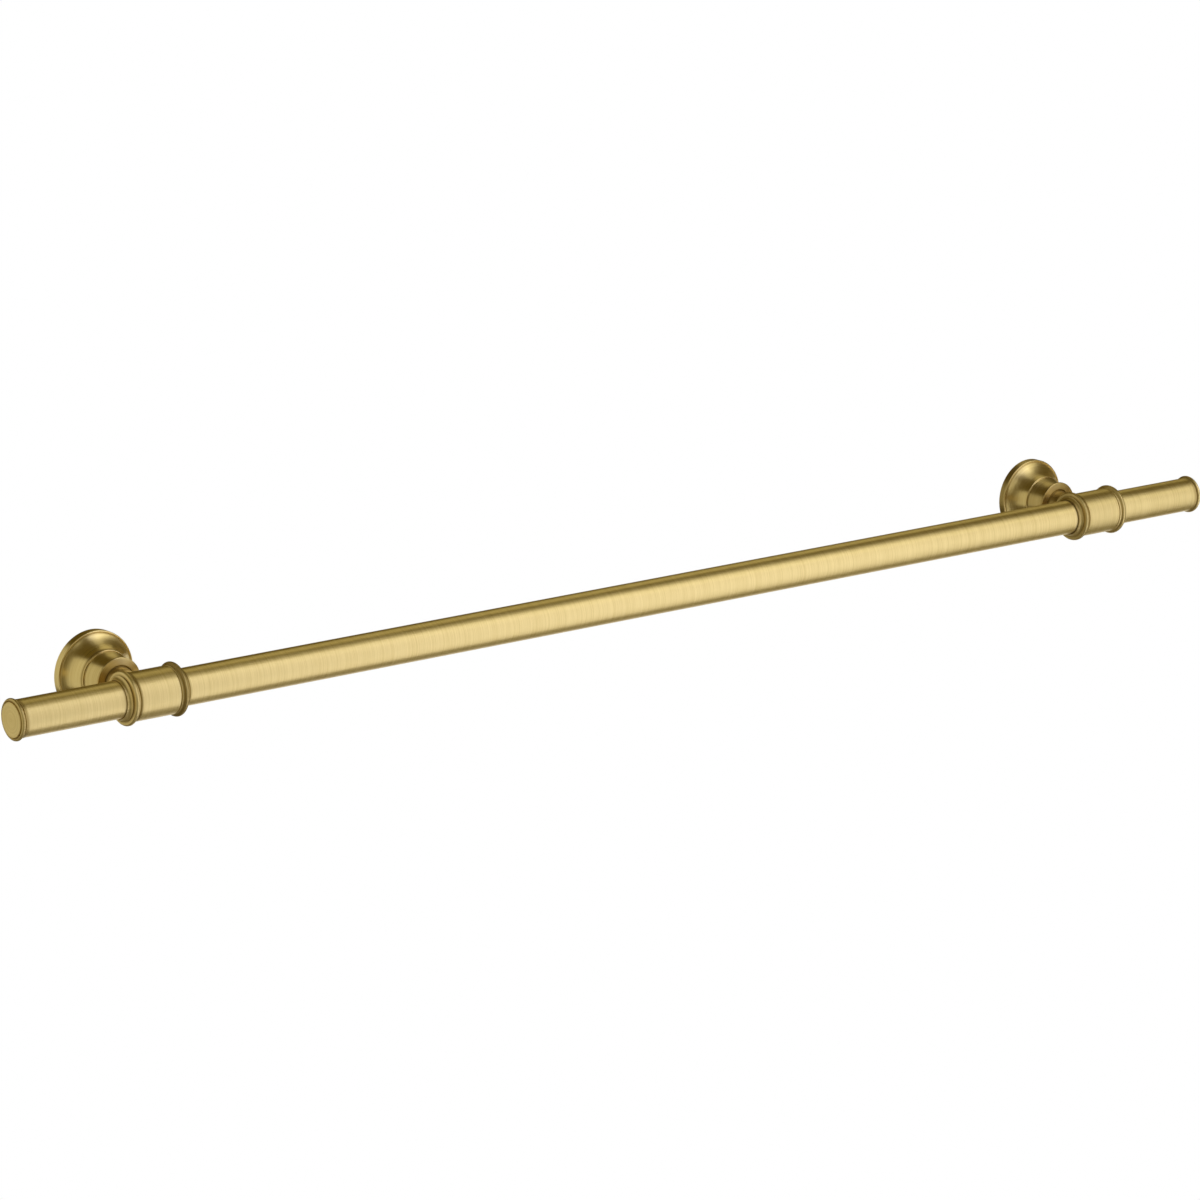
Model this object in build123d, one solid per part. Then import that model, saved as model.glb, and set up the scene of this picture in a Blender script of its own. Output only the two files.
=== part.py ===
from build123d import *
import os

# Towel rail in turned brass. A tube with beaded end caps runs through two collars. Each collar is on
# a post, and each post is screwed to a rosette that covers a wall plate.
# Millimetres. X runs along the rail, +Y points into the wall and Z is up. The origin is on the wall
# plane, midway between the brackets, level with the rail's axis.

# Layout
rail_length = 828.0  # over the faces of the end caps
rail_overhang = 82.0  # from the axis of a bracket to the face of the end cap beyond it
projection = 55.5  # from the wall plane to the axis of the rail

# Tube
tube_od = 20.0
tube_wall = 1.5

# End caps: a flat disc in a groove, a bead, a quirk, and a cove that runs out at the tube's surface
cap_disc_d = 18.5
cap_disc_edge = 0.25
cap_groove_depth = 1.1
cap_groove_floor = 0.25
cap_bead_root_d = 20.1
cap_bead_setback = 0.45
cap_bead_d = 22.3
cap_bead_width = 2.2
cap_bead_drop = 0.9
cap_quirk_d = 19.8
cap_quirk_width = 0.6
cap_cove_d = 20.7
cap_cove_length = 3.0
cap_spigot_length = 14.0
cap_spigot_chamfer = 0.8
cap_spigot_clearance = 0.05

# Collars: a plain sleeve with a quirk, a flare, a bead, a groove and a cove towards each end
collar_length = 38.4
collar_sleeve_d = 25.8
collar_bead_d = 29.0
collar_bead_width = 2.6
collar_quirk_width = 0.8
collar_quirk_depth = 0.6
collar_flare_length = 1.0
collar_flare_rise = 0.55
collar_bead_drop = 0.9
collar_groove_d = 23.4
collar_groove_width = 0.6
collar_cove_d = 24.3
collar_cove_length = 2.3
collar_lip = 0.15
collar_bore_chamfer = 0.3
collar_bore_clearance = 0.1

# Posts: a base on the rosette, a hollow, a flat ring, and a neck that is soldered to the collar
post_base_d = 27.8
post_base_chamfer = 0.6
post_base_band = 0.6
post_waist_d = 23.4
post_hollow_length = 9.1
post_quirk_depth = 0.5
post_quirk_length = 0.25
post_ring_d = 26.4
post_ring_lift = 0.65
post_ring_band = 0.7
post_ring_round = 0.4
post_ring_fall = 0.4
post_ring_inner_d = 18.4
post_neck_groove = 0.5
post_neck_d = 16.8
post_neck_waist_d = 15.4
post_neck_end_d = 17.0
post_spigot_d = 12.0
post_spigot_setback = 0.4
post_register_d = 16.0
post_register_length = 1.2
post_thread_depth = 12.0
solder_gap = 0.05

# Rosettes: a straight rim, a hollowed dish and a flat landing for the post
rosette_d = 45.8
rosette_rim = 4.5
rosette_rim_round = 0.6
rosette_quirk_width = 0.85
rosette_quirk_depth = 0.6
rosette_dish_d = 42.8
rosette_dish_hollow = 1.2
rosette_landing_d = 29.2
rosette_landing_round = 0.3
rosette_joint_width = 1.0
rosette_joint_depth = 0.6
rosette_height = 15.0
rosette_web = 3.8
rosette_chamber_d = 22.0
register_clearance = 0.05

# Wall plates: discs with a grooved edge and two countersunk wall holes, one above the other
plate_d = 32.0
plate_thickness = 5.0
plate_clearance = 0.25
plate_hole_d = 4.8
plate_countersink_d = 9.0
plate_hole_spacing = 20.0
plate_groove_depth = 1.0
plate_groove_y = 2.4

# Screws. Post screws are M6 with button heads, rosette grub screws M3 and collar grub screws M4.
post_screw_d = 6.0
post_screw_length = 16.0
post_screw_head_d = 10.5
post_screw_head_height = 3.3
post_screw_hex = 4.0
post_screw_hex_depth = 2.0
post_screw_crown_d = 6.0
post_screw_chamfer = 0.6
post_screw_hole_clearance = 0.3
washer_d = 11.8
washer_bore_d = 6.5
washer_thickness = 1.6
washer_split = 0.6
rosette_grub_d = 3.0
rosette_grub_hex = 1.5
rosette_grub_hex_depth = 1.6
rosette_grub_recess = 0.4
collar_grub_d = 4.0
collar_grub_hex = 2.0
collar_grub_hex_depth = 1.4
collar_grub_recess = 0.3
thread_clearance = 0.03

# Radii and stations that several pieces share
tube_r = tube_od / 2
bracket_x = rail_length / 2 - rail_overhang
collar_sleeve_r = collar_sleeve_d / 2
collar_bore_r = tube_r + collar_bore_clearance
cap_length = cap_bead_setback + cap_bead_width + cap_quirk_width + cap_cove_length
landing_y = -rosette_height
chamber_floor_y = landing_y + rosette_web
pocket_floor_y = -(plate_thickness + plate_clearance)
pocket_r = plate_d / 2 + plate_clearance
washer_y = chamber_floor_y + washer_thickness


def hex_socket(across_flats, depth):
    """A hexagonal prism that goes down from the XY plane, to be cut from a screw."""
    return extrude(RegularPolygon(across_flats / 2, 6, major_radius=False), -depth)


# Rail tube, butted against the shoulders of both end caps
tube_length = rail_length - 2 * cap_length
tube = Cylinder(tube_r, tube_length) - Cylinder(tube_r - tube_wall, tube_length)
rail_tube = Pos(0, -projection, 0) * Rot(0, 90, 0) * tube

# End cap, turned about X with its face at x = 0 and its spigot towards -X
disc_r = cap_disc_d / 2
bead_root = (-cap_bead_setback, cap_bead_root_d / 2)
bead_crest = (-cap_bead_setback - cap_bead_width / 2, cap_bead_d / 2)
bead_back = (-cap_bead_setback - cap_bead_width, cap_bead_d / 2 - cap_bead_drop)
cap_quirk = (bead_back[0] - cap_quirk_width / 2, cap_quirk_d / 2)
cove_start = (bead_back[0] - cap_quirk_width, cap_cove_d / 2)
cove_end = (-cap_length, tube_r)
spigot_r = tube_r - tube_wall - cap_spigot_clearance
spigot_x = -cap_length - cap_spigot_length
cap_outline = [
    Line((0, 0), (0, disc_r - cap_disc_edge)),
    TangentArc((0, disc_r - cap_disc_edge), (-cap_disc_edge, disc_r), tangent=(0, 1)),
    Polyline(
        (-cap_disc_edge, disc_r),
        (-cap_groove_depth, disc_r),
        (-cap_groove_depth, disc_r + cap_groove_floor),
        bead_root,
    ),
    TangentArc(bead_crest, bead_root, tangent=(1, 0)),
    TangentArc(bead_crest, bead_back, tangent=(-1, 0)),
    Polyline(bead_back, cap_quirk, cove_start),
    TangentArc(cove_end, cove_start, tangent=(1, 0)),
    Polyline(
        cove_end,
        (-cap_length, spigot_r),
        (spigot_x + cap_spigot_chamfer, spigot_r),
        (spigot_x, spigot_r - cap_spigot_chamfer),
        (spigot_x, 0),
        (0, 0),
    ),
]
end_cap = revolve(make_face(Curve() + cap_outline), Axis.X)
right_end_cap = Pos(rail_length / 2, -projection, 0) * end_cap
left_end_cap = mirror(right_end_cap, about=Plane.YZ)

# Collar, turned about X and alike at both ends
collar_end_x = collar_length / 2
collar_cove_x = collar_end_x - collar_cove_length
bead_x = collar_cove_x - collar_groove_width
flare_x = bead_x - collar_bead_width
quirk_x = flare_x - collar_flare_length
sleeve_x = quirk_x - collar_quirk_width
crest = (bead_x - collar_bead_width / 2, collar_bead_d / 2)
flare_top = (flare_x, collar_sleeve_r + collar_flare_rise)
bead_foot = (bead_x, collar_bead_d / 2 - collar_bead_drop)
cove_top = (collar_cove_x, collar_cove_d / 2)
lip = (collar_end_x, collar_bore_r + collar_bore_chamfer + collar_lip)
collar_half = [
    Polyline(
        (0, collar_sleeve_r),
        (sleeve_x, collar_sleeve_r),
        ((sleeve_x + quirk_x) / 2, collar_sleeve_r - collar_quirk_depth),
        (quirk_x, collar_sleeve_r),
    ),
    TangentArc((quirk_x, collar_sleeve_r), flare_top, tangent=(1, 0)),
    TangentArc(crest, flare_top, tangent=(-1, 0)),
    TangentArc(crest, bead_foot, tangent=(1, 0)),
    Polyline(bead_foot, (bead_x, collar_groove_d / 2), cove_top),
    TangentArc(lip, cove_top, tangent=(-1, 0)),
    Polyline(
        lip,
        (collar_end_x, collar_bore_r + collar_bore_chamfer),
        (collar_end_x - collar_bore_chamfer, collar_bore_r),
        (0, collar_bore_r),
        (0, collar_sleeve_r),
    ),
]
half_collar = revolve(make_face(Curve() + collar_half), Axis.X)
collar = half_collar + mirror(half_collar, about=Plane.YZ)

# The collar's side hole takes the post's spigot, and its lower hole takes the grub screw
post_spigot_r = post_spigot_d / 2
collar -= Rot(-90, 0, 0) * Cylinder(
    post_spigot_r + solder_gap, collar_bead_d, align=(Align.CENTER, Align.CENTER, Align.MIN)
)
collar -= Cylinder(
    collar_grub_d / 2 + thread_clearance, collar_bead_d, align=(Align.CENTER, Align.CENTER, Align.MAX)
)
right_collar = Pos(bracket_x, -projection, 0) * collar
left_collar = Pos(-bracket_x, -projection, 0) * collar

# Post, turned about Y from its base on the rosette's landing, then coped to the collar's sleeve
band_y = landing_y - post_base_chamfer
hollow_y = band_y - post_base_band
waist_y = hollow_y - post_hollow_length
quirk_y = waist_y - post_quirk_length
ring_y = quirk_y - post_ring_lift
ring_round_y = ring_y - post_ring_band
ring_face_y = ring_round_y - post_ring_round
neck_y = ring_face_y - post_ring_fall
collar_back_y = -projection + collar_sleeve_r
neck_mid_y = (neck_y + collar_back_y) / 2
spigot_end_y = -projection + collar_bore_r + post_spigot_setback
register_r = post_register_d / 2
base_r = post_base_d / 2
waist_r = post_waist_d / 2
ring_r = post_ring_d / 2
ring_face_r = ring_r - post_ring_round
ring_inner_r = post_ring_inner_d / 2
neck_r = post_neck_d / 2
neck_end_r = post_neck_end_d / 2
post_outline = [
    Polyline(
        (0, landing_y + post_register_length),
        (register_r, landing_y + post_register_length),
        (register_r, landing_y),
        (base_r - post_base_chamfer, landing_y),
        (base_r, band_y),
        (base_r, hollow_y),
    ),
    TangentArc((waist_r, waist_y), (base_r, hollow_y), tangent=(0, 1)),
    Polyline(
        (waist_r, waist_y),
        (waist_r - post_quirk_depth, quirk_y),
        (ring_r, ring_y),
        (ring_r, ring_round_y),
    ),
    TangentArc((ring_r, ring_round_y), (ring_face_r, ring_face_y), tangent=(0, -1)),
    Polyline(
        (ring_face_r, ring_face_y),
        (ring_inner_r, neck_y),
        ((ring_inner_r + neck_r) / 2, neck_y + post_neck_groove),
        (neck_r, neck_y),
    ),
    ThreePointArc((neck_r, neck_y), (post_neck_waist_d / 2, neck_mid_y), (neck_end_r, collar_back_y)),
    Polyline(
        (neck_end_r, collar_back_y),
        (neck_end_r, -projection),
        (0, -projection),
        (0, landing_y + post_register_length),
    ),
]
post = revolve(make_face(Curve() + post_outline), Axis.Y)
post -= Pos(0, -projection, 0) * Rot(0, 90, 0) * Cylinder(collar_sleeve_r + solder_gap, collar_length)
spigot_length = collar_back_y - spigot_end_y + collar_sleeve_r / 2
post += Pos(0, spigot_end_y, 0) * Rot(-90, 0, 0) * Cylinder(
    post_spigot_r, spigot_length, align=(Align.CENTER, Align.CENTER, Align.MIN)
)

# The tapped hole for the post screw, from the register inwards
post_hole_end_y = landing_y - post_thread_depth
post -= Pos(0, landing_y + post_register_length, 0) * Rot(90, 0, 0) * Cylinder(
    post_screw_d / 2 + thread_clearance,
    landing_y + post_register_length - post_hole_end_y,
    align=(Align.CENTER, Align.CENTER, Align.MIN),
)
right_post = Pos(bracket_x, 0, 0) * post
left_post = Pos(-bracket_x, 0, 0) * post

# Rosette, turned about Y: outside from the rim to the landing, inside from the register to the pocket
rim_r = rosette_d / 2
rim_edge = (rim_r, rosette_rim_round - rosette_rim)
rim_face = (rim_r - rosette_rim_round, -rosette_rim)
dish_r = rosette_dish_d / 2
dish_start = (dish_r, -rosette_rim)
dish_end = (rosette_landing_d / 2, landing_y + rosette_landing_round)
joint_r = dish_end[0] - rosette_landing_round
register_hole_r = register_r + register_clearance
register_floor_y = landing_y + post_register_length + register_clearance
screw_hole_r = post_screw_d / 2 + post_screw_hole_clearance
rosette_outline = [
    Line((pocket_r, 0), (rim_r, 0)),
    Line((rim_r, 0), rim_edge),
    TangentArc(rim_edge, rim_face, tangent=(0, -1)),
    Polyline(
        rim_face,
        (dish_r + rosette_quirk_width, -rosette_rim),
        (dish_r + rosette_quirk_width / 2, rosette_quirk_depth - rosette_rim),
        dish_start,
    ),
    SagittaArc(dish_start, dish_end, -rosette_dish_hollow),
    TangentArc(dish_end, (joint_r, landing_y), tangent=(0, -1)),
    Polyline(
        (joint_r, landing_y),
        (joint_r - rosette_joint_width / 2, landing_y + rosette_joint_depth),
        (joint_r - rosette_joint_width, landing_y),
        (register_hole_r, landing_y),
        (register_hole_r, register_floor_y),
        (screw_hole_r, register_floor_y),
        (screw_hole_r, chamber_floor_y),
        (rosette_chamber_d / 2, chamber_floor_y),
        (rosette_chamber_d / 2, pocket_floor_y),
        (pocket_r, pocket_floor_y),
        (pocket_r, 0),
    ),
]
rosette = revolve(make_face(Curve() + rosette_outline), Axis.Y)
rosette -= Pos(0, -plate_groove_y, 0) * Cylinder(
    rosette_grub_d / 2 + thread_clearance, rosette_d, align=(Align.CENTER, Align.CENTER, Align.MAX)
)
right_rosette = Pos(bracket_x, 0, 0) * rosette
left_rosette = Pos(-bracket_x, 0, 0) * rosette

# Wall plate, turned about Y with a V groove round its edge, then drilled and countersunk from the front
plate_r = plate_d / 2
plate_outline = Polyline(
    (0, 0),
    (plate_r, 0),
    (plate_r, -plate_groove_y + plate_groove_depth),
    (plate_r - plate_groove_depth, -plate_groove_y),
    (plate_r, -plate_groove_y - plate_groove_depth),
    (plate_r, -plate_thickness),
    (0, -plate_thickness),
    (0, 0),
)
wall_plate = revolve(make_face(plate_outline), Axis.Y)
countersink_depth = (plate_countersink_d - plate_hole_d) / 2
wall_hole_outline = Polyline(
    (0, 0),
    (plate_hole_d / 2, 0),
    (plate_hole_d / 2, -plate_thickness + countersink_depth),
    (plate_countersink_d / 2, -plate_thickness),
    (0, -plate_thickness),
    (0, 0),
)
wall_hole = revolve(make_face(wall_hole_outline), Axis.Y)
wall_plate -= Pos(0, 0, plate_hole_spacing / 2) * wall_hole
wall_plate -= Pos(0, 0, -plate_hole_spacing / 2) * wall_hole
right_wall_plate = Pos(bracket_x, 0, 0) * wall_plate
left_wall_plate = Pos(-bracket_x, 0, 0) * wall_plate

# Post screw, turned about Y with its head towards the wall, its shank through the web into the post
screw_r = post_screw_d / 2
head_r = post_screw_head_d / 2
screw_tip = (screw_r - post_screw_chamfer, -post_screw_length)
screw_outline = [
    Polyline(
        (0, post_screw_head_height),
        (0, -post_screw_length),
        screw_tip,
        (screw_r, -post_screw_length + post_screw_chamfer),
        (screw_r, 0),
        (head_r, 0),
    ),
    TangentArc((head_r, 0), (post_screw_crown_d / 2, post_screw_head_height), tangent=(0, 1)),
    Line((post_screw_crown_d / 2, post_screw_head_height), (0, post_screw_head_height)),
]
post_screw = revolve(make_face(Curve() + screw_outline), Axis.Y)
post_screw_socket = hex_socket(post_screw_hex, post_screw_hex_depth)
post_screw -= Pos(0, post_screw_head_height, 0) * Rot(-90, 0, 0) * post_screw_socket
post_screw = Pos(0, washer_y, 0) * post_screw
post_screws = Compound([Pos(-bracket_x, 0, 0) * post_screw, Pos(bracket_x, 0, 0) * post_screw])

# Spring washer, split at the top, between the screw's head and the floor of the chamber
washer = Cylinder(washer_d / 2, washer_thickness) - Cylinder(washer_bore_d / 2, washer_thickness)
washer -= Box(washer_split, washer_d, washer_thickness, align=(Align.CENTER, Align.MIN, Align.CENTER))
washer = Pos(0, washer_y - washer_thickness / 2, 0) * Rot(90, 0, 0) * washer
post_spring_washers = Compound([Pos(-bracket_x, 0, 0) * washer, Pos(bracket_x, 0, 0) * washer])

# Rosette grub screw, upright below the wall plate, with its cone point in the plate's groove
groove_z = plate_r - plate_groove_depth
rosette_grub_end = rim_r - rosette_grub_recess
rosette_grub_r = rosette_grub_d / 2
rosette_grub_outline = Polyline(
    (0, -groove_z),
    (rosette_grub_r, -groove_z - rosette_grub_r),
    (rosette_grub_r, -rosette_grub_end),
    (0, -rosette_grub_end),
    (0, -groove_z),
)
rosette_grub = Rot(90, 0, 0) * revolve(make_face(rosette_grub_outline), Axis.Y)
rosette_grub_socket = hex_socket(rosette_grub_hex, rosette_grub_hex_depth)
rosette_grub -= Pos(0, 0, -rosette_grub_end) * Rot(180, 0, 0) * rosette_grub_socket
rosette_grub = Pos(0, -plate_groove_y, 0) * rosette_grub
rosette_grub_screws = Compound([Pos(-bracket_x, 0, 0) * rosette_grub, Pos(bracket_x, 0, 0) * rosette_grub])

# Collar grub screw, upright below the tube, with its flat point against the tube
collar_grub_length = collar_sleeve_r - collar_grub_recess - tube_r
collar_grub = Cylinder(collar_grub_d / 2, collar_grub_length, align=(Align.CENTER, Align.CENTER, Align.MAX))
collar_grub_socket = hex_socket(collar_grub_hex, collar_grub_hex_depth)
collar_grub -= Pos(0, 0, -collar_grub_length) * Rot(180, 0, 0) * collar_grub_socket
collar_grub = Pos(0, -projection, -tube_r) * collar_grub
collar_grub_screws = Compound([Pos(-bracket_x, 0, 0) * collar_grub, Pos(bracket_x, 0, 0) * collar_grub])

pieces = {
    "rail_tube": rail_tube,
    "left_end_cap": left_end_cap,
    "right_end_cap": right_end_cap,
    "left_collar": left_collar,
    "right_collar": right_collar,
    "left_post": left_post,
    "right_post": right_post,
    "left_rosette": left_rosette,
    "right_rosette": right_rosette,
    "left_wall_plate": left_wall_plate,
    "right_wall_plate": right_wall_plate,
    "post_screws": post_screws,
    "post_spring_washers": post_spring_washers,
    "rosette_grub_screws": rosette_grub_screws,
    "collar_grub_screws": collar_grub_screws,
}
os.makedirs("parts", exist_ok=True)
for name, piece in pieces.items():
    export_step(piece, f"parts/{name}.step")
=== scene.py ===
import math

import bmesh
import bpy
import numpy as np
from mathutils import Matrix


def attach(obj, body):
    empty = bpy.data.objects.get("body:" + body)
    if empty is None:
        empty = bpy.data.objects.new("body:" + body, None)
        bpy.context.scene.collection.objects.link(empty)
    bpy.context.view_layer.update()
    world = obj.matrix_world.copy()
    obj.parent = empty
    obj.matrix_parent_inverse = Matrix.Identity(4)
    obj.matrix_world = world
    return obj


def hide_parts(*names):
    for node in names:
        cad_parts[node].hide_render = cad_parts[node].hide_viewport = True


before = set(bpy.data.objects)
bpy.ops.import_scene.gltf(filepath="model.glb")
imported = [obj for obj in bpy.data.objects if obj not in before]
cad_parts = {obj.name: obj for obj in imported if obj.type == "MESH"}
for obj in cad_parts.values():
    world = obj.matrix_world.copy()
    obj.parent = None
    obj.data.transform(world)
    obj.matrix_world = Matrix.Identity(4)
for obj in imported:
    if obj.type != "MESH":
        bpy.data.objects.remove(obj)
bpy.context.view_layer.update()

# Rail tube: one straight drawn brass tube, 20 mm outside, that passes through both collars and butts
# against the end caps. It was finished by spinning it against an abrasive belt.
wall_to_axis = 55.5
tube_radius = 10.0
tube_half = 407.75
tube_bore = 8.5


def outline_of(*runs):
    """An outline in millimetres: the given points and arcs of (station, radius), one after the other."""
    points = np.concatenate([np.atleast_2d(np.asarray(run, float)) for run in runs])
    return points[np.append(True, np.abs(np.diff(points, axis=0)).max(1) > 1e-6)]


def arc(start, end, bulge, steps=16):
    """A circular arc between two outline points. Its middle stands off the chord by bulge, to the left of
    the way from start to end, so a negative bulge bends it the other way."""
    start, end = np.asarray(start, float), np.asarray(end, float)
    chord = end - start
    half = 2 * math.atan(2 * bulge / np.hypot(*chord))
    turn = np.linspace(-half, half, steps)
    across = 0.5 + np.sin(turn) / math.sin(half) / 2
    aside = (np.cos(turn) - math.cos(half)) / math.sin(half) / 2
    return start + across[:, None] * chord + aside[:, None] * np.array([-chord[1], chord[0]])


def eased(outline, reach, closed):
    """The outline with every corner of over 20 degrees replaced by a quadratic curve, which leaves the two
    sides of the corner at the given reach from it, as an edge that a brush has broken."""
    back = np.roll(outline, 1, 0) - outline
    ahead = np.roll(outline, -1, 0) - outline
    back_length = np.hypot(back[:, 0], back[:, 1])
    ahead_length = np.hypot(ahead[:, 0], ahead[:, 1])
    straightness = -(back * ahead).sum(1) / (back_length * ahead_length)
    cut = np.minimum(reach, 0.4 * np.minimum(back_length, ahead_length))
    cut[straightness > math.cos(math.radians(20))] = 0
    if not closed:
        cut[[0, -1]] = 0
    t = np.linspace(0, 1, 5)[None, :, None]
    first = (outline + back * (cut / back_length)[:, None])[:, None]
    last = (outline + ahead * (cut / ahead_length)[:, None])[:, None]
    curve = ((1 - t) ** 2 * first + 2 * t * (1 - t) * outline[:, None] + t**2 * last).reshape(-1, 2)
    moved = np.hypot(*(curve - np.roll(curve, 1, 0)).T) > 1e-6
    moved[0] = True
    return curve[moved]


def stepped(ring, closed):
    """The outline with points added 0.3, 0.6, 1 and 1.5 mm inside both ends of each stretch of over 3.5 mm,
    because the painted shade of its corners dies away there."""
    ahead = np.roll(ring, -1, 0) - ring
    length = np.hypot(ahead[:, 0], ahead[:, 1])[:, None]
    step = np.array([0, 0.3, 0.6, 1.0, 1.5])
    share = np.concatenate([step / length, 1 - step[:0:-1] / length], 1)
    wanted = np.broadcast_to(length > 3.5, share.shape).copy()
    if not closed:
        wanted[-1] = False
    wanted[:, 0] = True
    return (ring[:, None] + share[:, :, None] * ahead[:, None])[wanted]


groove_spread = 0.65


def painted_shade_of(ring, outline, grooves, spots):
    """The painted shade at each ring point, for the shade in grooves and at joints: the highest w exp(-(d /
    s)^2), where d mm is the way to a spot, given as (station, radius, w, s), or to an inner corner of the
    outline. A corner's w is the groove level given, times its turn / 45 degrees up to 1, and none for a turn
    of under 15 degrees. Its s is groove_spread."""
    ahead = np.roll(outline, -1, 0) - outline
    behind = outline - np.roll(outline, 1, 0)
    turn = np.arctan2(behind[:, 0] * ahead[:, 1] - behind[:, 1] * ahead[:, 0], (behind * ahead).sum(1))
    inward = -np.sign((outline[:, 0] * ahead[:, 1] - outline[:, 1] * ahead[:, 0]).sum())
    depth = np.clip(turn * inward / math.radians(45), 0, 1)
    depth[depth < 0.33] = 0
    spots = np.reshape(spots, (-1, 4))
    where = np.concatenate([outline, spots[:, :2]])
    weight = np.append(grooves * depth, spots[:, 2])
    spread = np.append(np.full(len(outline), groove_spread), spots[:, 3])
    way = np.hypot(*(ring[:, None] - where).transpose(2, 0, 1))
    return (weight * np.exp(-((way / spread) ** 2))).max(1)


def turned(
    name, outline, place, closed=False, reach=0.12, segments=160, grooves=1.0, spots=(), shade_all_over=0.0, polish=0.0
):
    """A surface of revolution. Ring i of its grid has station a_i and radius r_i from the outline, and point
    j of that ring is place(a_i, r_i cos t_j, r_i sin t_j), where t_j = 2 pi j / segments. Rings of no radius
    shrink to one point. The UV map is (way along the outline, way round), and run_mm is the former in mm.
    Painted shade lies evenly over it at the level given for all over, and rises in the grooves and at the
    spots. The polish is even."""
    ring = stepped(eased(outline, reach, closed), closed)
    rings = len(ring)
    t = np.arange(segments) * 2 * math.pi / segments
    grid = place(ring[:, :1] + 0 * t, ring[:, 1:] * np.cos(t), ring[:, 1:] * np.sin(t))
    points = np.stack(grid, -1).reshape(-1, 3) / 1000
    run = np.append(0, np.cumsum(np.hypot(*(np.roll(ring, -1, 0) - ring).T)))
    i, j = np.meshgrid(np.arange(rings if closed else rings - 1), np.arange(segments), indexing="ij")
    i_next, j_next = (i + 1) % rings, (j + 1) % segments
    corners = [i * segments + j, i_next * segments + j, i_next * segments + j_next, i * segments + j_next]
    quads = np.stack(corners, -1).reshape(-1, 4)
    along = np.stack([run[i], run[i + 1], run[i + 1], run[i]], -1).reshape(-1, 4) / run[-1]
    around = np.stack([j, j, j + 1, j + 1], -1).reshape(-1, 4) / segments
    # Faces that would point inwards are wound the other way.
    a, b, c, d = points[quads.T]
    if np.einsum("ij,ij->", a + b + c + d, np.cross(c - a, d - b)) < 0:
        quads, along, around = quads[:, ::-1], along[:, ::-1], around[:, ::-1]
    mesh = bpy.data.meshes.new(name)
    mesh.from_pydata(points, [], quads)
    turning = mesh.uv_layers.new(name="turning")
    turning.data.foreach_set("uv", np.stack([along, around], -1).astype(np.float32).ravel())
    run_mm = mesh.attributes.new("run_mm", "FLOAT", "POINT")
    run_mm.data.foreach_set("value", np.repeat(run[:rings], segments).astype(np.float32))
    painted_shade = mesh.attributes.new("painted_shade", "FLOAT", "POINT")
    painted_shade_level = shade_all_over + (1 - shade_all_over) * painted_shade_of(ring, outline, grooves, spots)
    painted_shade.data.foreach_set("value", np.repeat(painted_shade_level, segments).astype(np.float32))
    polished = mesh.attributes.new("polish", "FLOAT", "POINT")
    polished.data.foreach_set("value", np.full(rings * segments, polish, np.float32))
    whole = bmesh.new()
    whole.from_mesh(mesh)
    bmesh.ops.remove_doubles(whole, verts=whole.verts, dist=1e-7)
    whole.to_mesh(mesh)
    whole.free()
    mesh.shade_smooth()
    mesh.set_sharp_from_angle(angle=math.radians(35))
    piece = bpy.data.objects.new(name, mesh)
    bpy.context.scene.collection.objects.link(piece)
    return piece


def on_rail(x):
    """Places a piece that is turned about the rail's axis, with its own origin at x."""
    return lambda station, across, up: (x + station, across - wall_to_axis, up)


def linear(hex_colour):
    """A colour from sRGB hex to linear light."""
    level = np.array([int(hex_colour[k : k + 2], 16) for k in (1, 3, 5)]) / 255
    level = np.where(level <= 0.04045, level / 12.92, ((level + 0.055) / 1.055) ** 2.4)
    return (*level.tolist(), 1.0)


def add(tree, kind, settings, **inputs):
    """Adds a node with its settings, and sets or links each input. An input is given by its label, with _ for
    a space, or by its number, as _0 or _1."""
    made = tree.nodes.new(kind)
    for key, value in settings.items():
        setattr(made, key, value)
    for key, value in inputs.items():
        socket = made.inputs[int(key[1:])] if key[0] == "_" else made.inputs[key.replace("_", " ")]
        if isinstance(value, bpy.types.NodeSocket):
            tree.links.new(value, socket)
        else:
            socket.default_value = value
    return made


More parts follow.
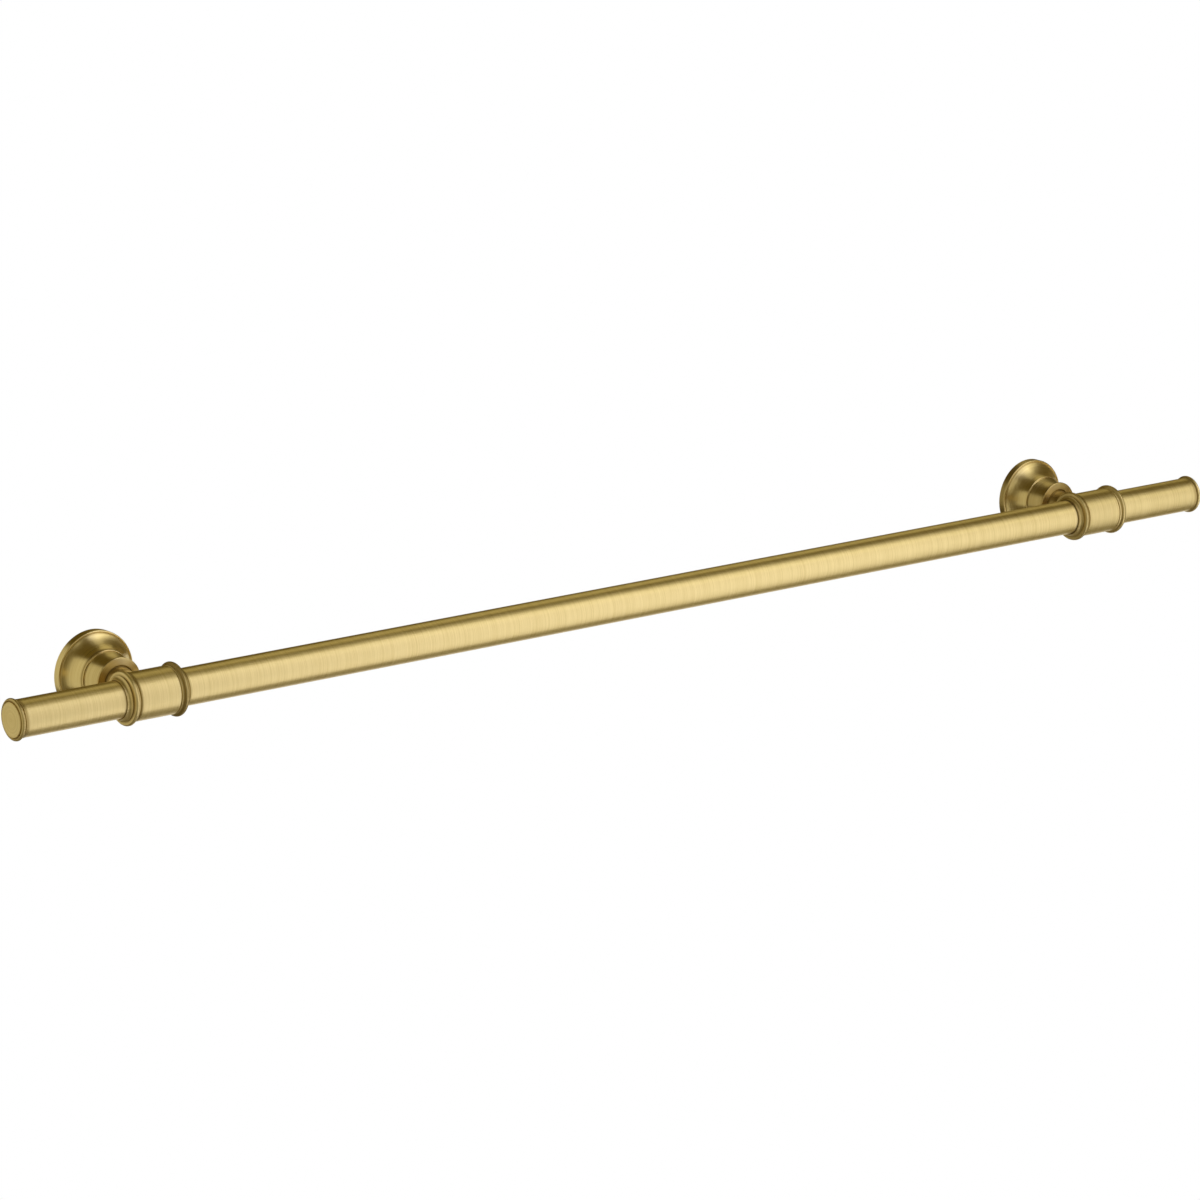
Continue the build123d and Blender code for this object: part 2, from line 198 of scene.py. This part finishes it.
def brushed_brass():
    """Satin brass, brushed round each turned piece on the lathe. The scratches lie round the piece, so
    highlights spread across them, along the outline. They are drawn about 0.3 mm apart, coarser than real
    ones (0.1 mm), because finer lines would vanish at this image size, and faint bands lie 5 mm apart, where
    the belt bore harder. Painted shade turns the brass dark brown and rougher in the grooves, at the joints
    and evenly over some whole pieces, for the shade that falls there. A polished piece has a finer grit, and
    so a clearer highlight."""
    scratch_length = 0.04
    scratches_per_mm, bands_per_mm = 3.0, 0.22
    material = bpy.data.materials.new("brushed_brass")
    material.use_nodes = True
    tree = material.node_tree
    tree.nodes.clear()
    place = add(tree, "ShaderNodeTexCoord", {}).outputs["Object"]
    run = add(tree, "ShaderNodeAttribute", {"attribute_name": "run_mm"}).outputs["Fac"]
    round_way = add(tree, "ShaderNodeMapping", {}, Vector=place, Scale=[1 / scratch_length] * 3).outputs[0]
    fine_run = add(tree, "ShaderNodeMath", {"operation": "MULTIPLY"}, _0=run, _1=scratches_per_mm).outputs[0]
    fine_shift = add(tree, "ShaderNodeCombineXYZ", {}, X=fine_run).outputs[0]
    fine_way = add(tree, "ShaderNodeVectorMath", {"operation": "ADD"}, _0=round_way, _1=fine_shift).outputs[0]
    fine = add(
        tree, "ShaderNodeTexNoise", {}, Vector=fine_way, Scale=1.0, Detail=3.0, Roughness=0.7
    ).outputs["Fac"]
    wide_run = add(tree, "ShaderNodeMath", {"operation": "MULTIPLY"}, _0=run, _1=bands_per_mm).outputs[0]
    wide_shift = add(tree, "ShaderNodeCombineXYZ", {}, Y=wide_run).outputs[0]
    wide_way = add(tree, "ShaderNodeVectorMath", {"operation": "ADD"}, _0=round_way, _1=wide_shift).outputs[0]
    wide = add(tree, "ShaderNodeTexNoise", {}, Vector=wide_way, Scale=1.0, Detail=2.0).outputs["Fac"]
    streak = add(tree, "ShaderNodeMix", {}, _0=0.12, _2=fine, _3=wide).outputs[0]
    tone = add(tree, "ShaderNodeValToRGB", {}, Fac=streak)
    tone.color_ramp.elements[0].position = 0.36
    tone.color_ramp.elements[0].color = linear("#E6CE8A")
    tone.color_ramp.elements[1].position = 0.64
    tone.color_ramp.elements[1].color = linear("#FAE4A2")
    # Painted shade: where the shade attribute is high, the brass turns dark brown and rougher, for the shade
    # in grooves, at joints and on darker pieces.
    painted_shade = add(tree, "ShaderNodeAttribute", {"attribute_name": "painted_shade"}).outputs["Fac"]
    colour = add(
        tree,
        "ShaderNodeMix",
        {"data_type": "RGBA"},
        _0=painted_shade,
        _6=tone.outputs["Color"],
        _7=linear("#866A22"),
    ).outputs[2]
    grit = add(tree, "ShaderNodeMapRange", {}, _0=fine, _1=0.3, _2=0.7, _3=0.35, _4=0.41).outputs[0]
    polish = add(tree, "ShaderNodeAttribute", {"attribute_name": "polish"}).outputs["Fac"]
    grit = add(tree, "ShaderNodeMix", {}, _0=polish, _2=grit, _3=0.22).outputs[0]
    grit = add(tree, "ShaderNodeMix", {}, _0=painted_shade, _2=grit, _3=0.55).outputs[0]
    bump = add(tree, "ShaderNodeBump", {}, Strength=0.08, Distance=0.0002, Height=fine).outputs["Normal"]
    lay = add(tree, "ShaderNodeTangent", {"direction_type": "UV_MAP", "uv_map": "turning"}).outputs["Tangent"]
    shader = add(
        tree,
        "ShaderNodeBsdfPrincipled",
        {},
        Base_Color=colour,
        Metallic=1.0,
        Roughness=grit,
        Anisotropic=0.62,
        Normal=bump,
        Tangent=lay,
    )
    add(tree, "ShaderNodeOutputMaterial", {}, Surface=shader.outputs[0])
    return material


brass = brushed_brass()


def dress(piece, *nodes):
    """Gives a brass piece its finish, and lets it stand for its CAD nodes on the fixed body."""
    piece.data.materials.append(brass)
    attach(piece, "root")
    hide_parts(*nodes)


bracket_x = 332.0
collar_half = 19.2
collar_mouths = np.array([-1, -1, 1, 1]) * bracket_x + np.array([-1, 1, -1, 1]) * collar_half
# A row of a painted shade table is one dark ring round a piece: station, radius, level and spread, lengths
# in mm. On the tube these rings are painted shade where it enters the collars.
mouth_shade = np.array([(x, tube_radius, 0.6, groove_spread) for x in collar_mouths])
tube = turned(
    "brass_rail",
    outline_of(
        (-tube_half, tube_radius),
        mouth_shade[:, :2],
        (tube_half, tube_radius),
        (tube_half, tube_bore),
        (-tube_half, tube_bore),
    ),
    on_rail(0),
    closed=True,
    reach=0.03,
    spots=mouth_shade,
)
dress(tube, "rail_tube")

# End caps: solid brass plugs turned with a flat disc, a groove, a bead and a cove that dies into the
# tube's surface. Each one's spigot is pushed into the end of the tube.
rail_half = 414.0
cap_outline = outline_of(
    (-20.25, 0),
    (-20.25, 7.65),
    (-19.45, 8.45),
    (-6.25, 8.45),
    arc((-6.25, 10.0), (-3.25, 10.35), -0.088),
    (-2.95, 9.9),
    arc((-2.65, 10.25), (-1.55, 11.15), 0.254),
    arc((-1.55, 11.15), (-0.45, 10.05), 0.322),
    (-1.1, 9.5),
    (-1.1, 9.25),
    arc((-0.25, 9.25), (0, 9.0), 0.073, 6),
    (0, 0),
)
# Painted shade for the caps: dark rings at the cove and by the disc, and on the left cap one over the bead's
# crest that dims its highlight. The left cap's grooves are painted lighter.
left_cap_shade = ((-3.9, 10.2, 0.55, 1.3), (-1.7, 11.1, 0.3, 0.8), (-0.5, 10.2, 0.4, 0.5))
right_cap_shade = ((-3.9, 10.2, 0.55, 1.3), (-0.5, 10.2, 0.4, 0.5))
for side, node, spots, grooves in (
    (-1, "left_end_cap", left_cap_shade, 0.6),
    (1, "right_end_cap", right_cap_shade, 1.0),
):
    cap = turned(
        "brass_" + node,
        cap_outline * (side, 1),
        on_rail(side * rail_half),
        reach=0.05,
        grooves=grooves,
        spots=np.array(spots) * (side, 1, 1, 1),
    )
    dress(cap, node)

# Collars: brass sleeves turned with a bead and a cove at each end, bored to slide over the tube.
# A grub screw under each one grips the tube.
collar_end = outline_of(
    (11.9, 12.9),
    (12.3, 12.3),
    arc((12.7, 12.9), (13.7, 13.45), -0.147, 8),
    arc((13.7, 13.45), (15.0, 14.5), 0.295),
    arc((15.0, 14.5), (16.3, 13.6), 0.247),
    (16.3, 11.7),
    arc((16.9, 12.15), (19.2, 10.55), -0.439),
    (19.2, 10.4),
    (18.9, 10.1),
)
collar_outline = outline_of(collar_end[::-1] * (-1, 1), collar_end)
collar_grub_hole = 2.03
# Painted shade for the collars: dark rings on and by the beads and at the mouths, placed differently on each
# collar for the shade and dark reflections that each one shows.
left_collar_shade = (
    (-13.6, 13.3, 0.6, 0.9),
    (-11.6, 12.9, 0.7, 0.5),
    (13.8, 13.7, 0.8, 1.1),
    (15.6, 14.3, 0.7, 0.9),
    (18.8, 10.6, 0.76, 1.2),
)
right_collar_shade = (
    (-19.0, 10.5, 0.8, 0.9),
    (-14.6, 14.4, 0.66, 0.9),
    (-12.6, 12.9, 0.6, 1.0),
    (15.4, 14.4, 0.65, 0.6),
    (18.8, 10.6, 0.6, 1.0),
)


def drill(piece, axis, radius, depth=30.0, facets=48):
    """Cuts an upright round hole of the given radius in mm from the piece, on an axis at (x, y), from the
    height of the rail's axis down. The cutter is a prism: point j of its ring is (r cos t_j, r sin t_j),
    where t_j = 2 pi j / facets."""
    j = np.arange(facets)
    j_next = (j + 1) % facets
    t = j * 2 * math.pi / facets
    ring = np.stack([axis[0] + radius * np.cos(t), axis[1] + radius * np.sin(t), 0 * t], 1)
    points = np.concatenate([ring - (0, 0, depth), ring]) / 1000
    walls = np.stack([j, j_next, j_next + facets, j + facets], 1).tolist()
    ends = [j[::-1].tolist(), (j + facets).tolist()]
    mesh = bpy.data.meshes.new("drill")
    mesh.from_pydata(points, [], walls + ends)
    bit = bpy.data.objects.new("drill", mesh)
    bpy.context.scene.collection.objects.link(bit)
    cut = piece.modifiers.new("hole", "BOOLEAN")
    cut.object, cut.operation, cut.solver = bit, "DIFFERENCE", "EXACT"
    whole = piece.evaluated_get(bpy.context.evaluated_depsgraph_get())
    drilled = bpy.data.meshes.new_from_object(whole)
    piece.modifiers.remove(cut)
    piece.data = drilled
    bpy.data.objects.remove(bit)


# Each collar gets half the painted shade in its grooves, and a faint even painted shade all over, a little
# more on the right one.
for side, node, spots, shade_all_over in (
    (-1, "left_collar", left_collar_shade, 0.03),
    (1, "right_collar", right_collar_shade, 0.08),
):
    collar = turned(
        "brass_" + node,
        collar_outline,
        on_rail(side * bracket_x),
        closed=True,
        grooves=0.5,
        spots=spots,
        shade_all_over=shade_all_over,
    )
    drill(collar, (side * bracket_x, -wall_to_axis), collar_grub_hole)
    dress(collar, node)

# Posts: solid brass pillars turned with a hollow, a flat ring and a slender neck. The neck is coped to the
# collar and soldered to it by a spigot, and a screw from behind holds the base to the rosette.
spigot_radius = 6.0
sleeve_radius = 12.95
bracket_polish = 0.6


def on_wall(x, coped=False):
    """Places a piece that is turned about a bracket's axis at x, with stations running from the wall to the
    room. A coped piece stops where it would enter the collar's sleeve, except for its spigot."""

    def place(station, across, up):
        y = -station
        if coped:
            sleeve = np.sqrt(np.maximum(sleeve_radius**2 - up**2, 0)) - wall_to_axis
            y = np.where(np.hypot(across, up) > spigot_radius + 0.01, np.maximum(y, sleeve), y)
        return x + across, y, up

    return place


post_outline = outline_of(
    (27.0, 0),
    (27.0, 3.03),
    (13.8, 3.03),
    (13.8, 8.0),
    (15.0, 8.0),
    (15.0, 13.3),
    (15.6, 13.9),
    arc((16.2, 13.9), (25.3, 11.7), -0.558, 24),
    (25.55, 11.2),
    (26.2, 13.2),
    arc((26.9, 13.2), (27.3, 12.8), 0.117, 6),
    (27.7, 9.2),
    (27.2, 8.8),
    arc((27.7, 8.4), (42.6, 8.5), -0.75, 24),
    (50.0, 8.5),
    (50.0, 6.02),
    (45.0, 6.0),
    (45.0, 0),
)
# Painted shade for the posts: a dark ring where the post meets the rosette, a faint one at the flat ring, and
# a broad one on the neck, in the recess by the collar. Each post is also painted evenly darker all over for
# the shade on it, more so the right one.
post_shade = ((15.0, 13.3, 1.0, groove_spread), (26.6, 13.2, 0.3, 0.45), (32.0, 7.8, 0.65, 2.5))
for side, node, shade_all_over in ((-1, "left_post", 0.15), (1, "right_post", 0.35)):
    place = on_wall(side * bracket_x, coped=True)
    post = turned("brass_" + node, post_outline, place, spots=post_shade, shade_all_over=shade_all_over, polish=bracket_polish)
    dress(post, node)

# Rosettes: hollow brass flanges turned with a straight rim and a hollowed dish up to a flat landing,
# where the post stands. A grub screw under the rim holds each one on its wall plate.
rosette_grub_station = 2.4
rosette_grub_hole = 1.53
rosette_outline = outline_of(
    (0, 16.25),
    (0, 22.9),
    arc((3.9, 22.9), (4.5, 22.3), 0.176, 8),
    (4.5, 22.25),
    (3.9, 21.825),
    arc((4.5, 21.4), (14.7, 14.6), -1.2, 40),
    arc((14.7, 14.6), (15.0, 14.3), 0.088, 6),
    (14.4, 13.8),
    (15.0, 13.3),
    (15.0, 8.05),
    (13.75, 8.05),
    (13.75, 3.3),
    (11.2, 3.3),
    (11.2, 11.0),
    (5.25, 11.0),
    (5.25, 16.25),
)
# Painted shade for the rosettes: faint rings at the rim's inner edge, at the left one's landing and over the
# right one's rim, faint painted shade in the grooves, and an even painted shade all over the right one.
left_rosette_shade = ((4.3, 21.6, 0.3, 0.8), (13.9, 14.8, 0.6, 0.7))
right_rosette_shade = ((4.3, 21.6, 0.3, 0.8), (2.0, 22.9, 0.45, 2.5))
for side, node, spots, shade_all_over in (
    (-1, "left_rosette", left_rosette_shade, 0.0),
    (1, "right_rosette", right_rosette_shade, 0.12),
):
    rosette = turned(
        "brass_" + node,
        rosette_outline,
        on_wall(side * bracket_x),
        closed=True,
        segments=192,
        grooves=0.2,
        spots=spots,
        shade_all_over=shade_all_over,
        polish=bracket_polish,
    )
    drill(rosette, (side * bracket_x, -rosette_grub_station), rosette_grub_hole)
    dress(rosette, node)

# Wall plates and screws: zinc-plated steel discs and small stainless screws, out of sight once mounted.
# They keep their solids and only take a finish.


def plain_steel(name, colour, roughness):
    """Steel as it comes from the plating bath or the screw machine: grey, with faint mottling in its gloss,
    in patches of 2.5 mm."""
    patches_per_m = 400.0
    mottling = 0.06
    material = bpy.data.materials.new(name)
    material.use_nodes = True
    tree = material.node_tree
    tree.nodes.clear()
    place = add(tree, "ShaderNodeTexCoord", {}).outputs["Object"]
    mottle = add(tree, "ShaderNodeTexNoise", {}, Vector=place, Scale=patches_per_m, Detail=3.0).outputs[0]
    gloss = add(
        tree,
        "ShaderNodeMapRange",
        {},
        _0=mottle,
        _1=0.3,
        _2=0.7,
        _3=roughness - mottling,
        _4=roughness + mottling,
    ).outputs[0]
    shader = add(
        tree, "ShaderNodeBsdfPrincipled", {}, Base_Color=linear(colour), Metallic=1.0, Roughness=gloss
    )
    add(tree, "ShaderNodeOutputMaterial", {}, Surface=shader.outputs[0])
    return material


zinc = plain_steel("zinc_plated_steel", "#C3C6C8", 0.38)
stainless = plain_steel("stainless_steel", "#C9C8C5", 0.28)
for node, finish in (
    ("left_wall_plate", zinc),
    ("right_wall_plate", zinc),
    ("post_screws", stainless),
    ("post_spring_washers", stainless),
    ("rosette_grub_screws", stainless),
    ("collar_grub_screws", stainless),
):
    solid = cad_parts[node]
    solid.data.materials.clear()
    solid.data.materials.append(finish)

# Floor: a plain pale studio floor, well below the rail, as under a rail at its usual height. Behind the
# rail it is a lit sweep, white to the camera and in the brass. Elsewhere it is pale to the camera, with a
# matt share near the rail for its shadow, and the brass shows the dim room that stands round it.
floor_level = -2.3
floor_half = 30.0
floor_mesh = bpy.data.meshes.new("floor")
floor_mesh.from_pydata(
    [(x * floor_half, y * floor_half, floor_level) for x, y in ((-1, -1), (1, -1), (1, 1), (-1, 1))],
    [],
    [(0, 1, 2, 3)],
)
floor = bpy.data.objects.new("floor", floor_mesh)
bpy.context.scene.collection.objects.link(floor)
pale = bpy.data.materials.new("pale_floor")
pale.use_nodes = True
tree = pale.node_tree
tree.nodes.clear()
ray = add(tree, "ShaderNodeLightPath", {}).outputs
shown = add(
    tree, "ShaderNodeMath", {"operation": "MAXIMUM"}, _0=ray["Is Camera Ray"], _1=ray["Is Glossy Ray"]
).outputs[0]
shown = add(
    tree, "ShaderNodeMath", {"operation": "MAXIMUM"}, _0=shown, _1=ray["Is Transmission Ray"]
).outputs[0]
floor_point = add(tree, "ShaderNodeTexCoord", {}).outputs["Object"]
floor_way = add(tree, "ShaderNodeSeparateXYZ", {}, Vector=floor_point).outputs
away = add(tree, "ShaderNodeVectorMath", {"operation": "LENGTH"}, _0=floor_point).outputs["Value"]
# Each of these rises smoothly to 1 between two distances in metres. The sweep lies where x and y are high.
behind, beside, paleness = (
    add(
        tree,
        "ShaderNodeMapRange",
        {"interpolation_type": "SMOOTHSTEP"},
        _0=distance,
        _1=start,
        _2=end,
        _3=least,
        _4=1.0,
    ).outputs[0]
    for distance, start, end, least in (
        (floor_way["Y"], 0.9, 1.9, 0.0),
        (floor_way["X"], 0.0, 1.5, 0.0),
        (away, 3.0, 8.0, 0.94),
    )
)
sweep = add(tree, "ShaderNodeMath", {"operation": "MULTIPLY"}, _0=behind, _1=beside).outputs[0]
sweep = add(tree, "ShaderNodeMath", {"operation": "MULTIPLY"}, _0=sweep, _1=shown).outputs[0]
plain = add(
    tree, "ShaderNodeMath", {"operation": "MULTIPLY"}, _0=paleness, _1=ray["Is Camera Ray"]
).outputs[0]
whiteness = add(tree, "ShaderNodeMath", {"operation": "MAXIMUM"}, _0=sweep, _1=plain).outputs[0]
matt = add(tree, "ShaderNodeBsdfDiffuse", {}, Color=linear("#F2F2F0")).outputs[0]
white = add(tree, "ShaderNodeEmission", {}, Color=linear("#FFFFFF"), Strength=1.0).outputs[0]
both = add(tree, "ShaderNodeMixShader", {}, _0=whiteness, _1=matt, _2=white).outputs[0]
add(tree, "ShaderNodeOutputMaterial", {}, Surface=both)
floor_mesh.materials.append(pale)

# Light: three tall soft boxes in front and on the right, and smaller ones over the rail, on the left, behind
# and low on the right, in a dim warm room. To the camera the room is a white backdrop.
room_glow = (0.09, 0.064, 0.008, 1)
world = bpy.data.worlds.new("dim_studio")
world.use_nodes = True
tree = world.node_tree
tree.nodes.clear()
room = add(tree, "ShaderNodeBackground", {}, Color=room_glow, Strength=1.0).outputs[0]
backdrop = add(tree, "ShaderNodeBackground", {}, Color=linear("#FFFFFF"), Strength=1.0).outputs[0]
seen = add(tree, "ShaderNodeLightPath", {}).outputs["Is Camera Ray"]
both = add(tree, "ShaderNodeMixShader", {}, _0=seen, _1=room, _2=backdrop).outputs[0]
add(tree, "ShaderNodeOutputWorld", {}, Surface=both)
bpy.context.scene.world = world


def soft_box(name, azimuth, elevation, distance, width, height, glow, colour):
    """A rectangular lamp that faces the middle of the rail, with its azimuth in degrees to the right of
    straight in front, its elevation in degrees, and lengths in metres. Its power is glow times pi times its
    area, so glow is the brightness that a mirror would show."""
    data = bpy.data.lights.new(name, "AREA")
    data.shape = "RECTANGLE"
    data.size, data.size_y = width, height
    data.energy = glow * math.pi * width * height
    data.color = colour
    lamp = bpy.data.objects.new(name, data)
    bpy.context.scene.collection.objects.link(lamp)
    turn, lift = math.radians(azimuth), math.radians(elevation)
    lamp.location = (
        distance * math.sin(turn) * math.cos(lift),
        -distance * math.cos(turn) * math.cos(lift),
        distance * math.sin(lift),
    )
    lamp.rotation_euler = (math.pi / 2 - lift, 0, turn)
    lamp.visible_camera = False


soft_box("right_box", 31, 0, 1.2, 0.9, 4.4, 1.41, (0.83, 0.85, 1))
soft_box("front_box", -14, 0, 1.6, 0.5, 3.0, 0.9, (1, 1, 0.92))
soft_box("side_box", 59, 0, 1.2, 0.42, 4.4, 0.52, (1, 1, 0.92))
soft_box("left_box", -106, 6, 1.0, 1.83, 1.41, 0.5, (1, 0.99, 0.87))
soft_box("upper_box", 60, 53, 1.44, 0.7, 1.51, 0.47, (1, 1, 0.92))
soft_box("back_box", 134, 44, 2.59, 1.1, 1.9, 0.45, (1, 0.94, 0.6))
soft_box("low_box", 100, -50, 1.5, 0.9, 0.8, 0.1, (1, 0.93, 0.6))

# Camera: a long lens to the left of the rail and a little above it. It looks at a point near the middle of
# the rail, where the fit to the photograph's outline puts the middle of the frame.
target = (-0.0382, -0.0554, 0.0039)
turn, lift, away = math.radians(37.635), math.radians(14.362), 2.6133
lens = bpy.data.cameras.new("camera")
lens.lens = 142.09
lens.sensor_width = 36.0
lens.clip_end = 100
camera = bpy.data.objects.new("camera", lens)
bpy.context.scene.collection.objects.link(camera)
camera.location = (
    target[0] - away * math.sin(turn) * math.cos(lift),
    target[1] - away * math.cos(turn) * math.cos(lift),
    target[2] + away * math.sin(lift),
)
camera.rotation_euler = (math.pi / 2 - lift, 0, -turn)
bpy.context.scene.camera = camera
bpy.context.scene.view_settings.view_transform = "Standard"
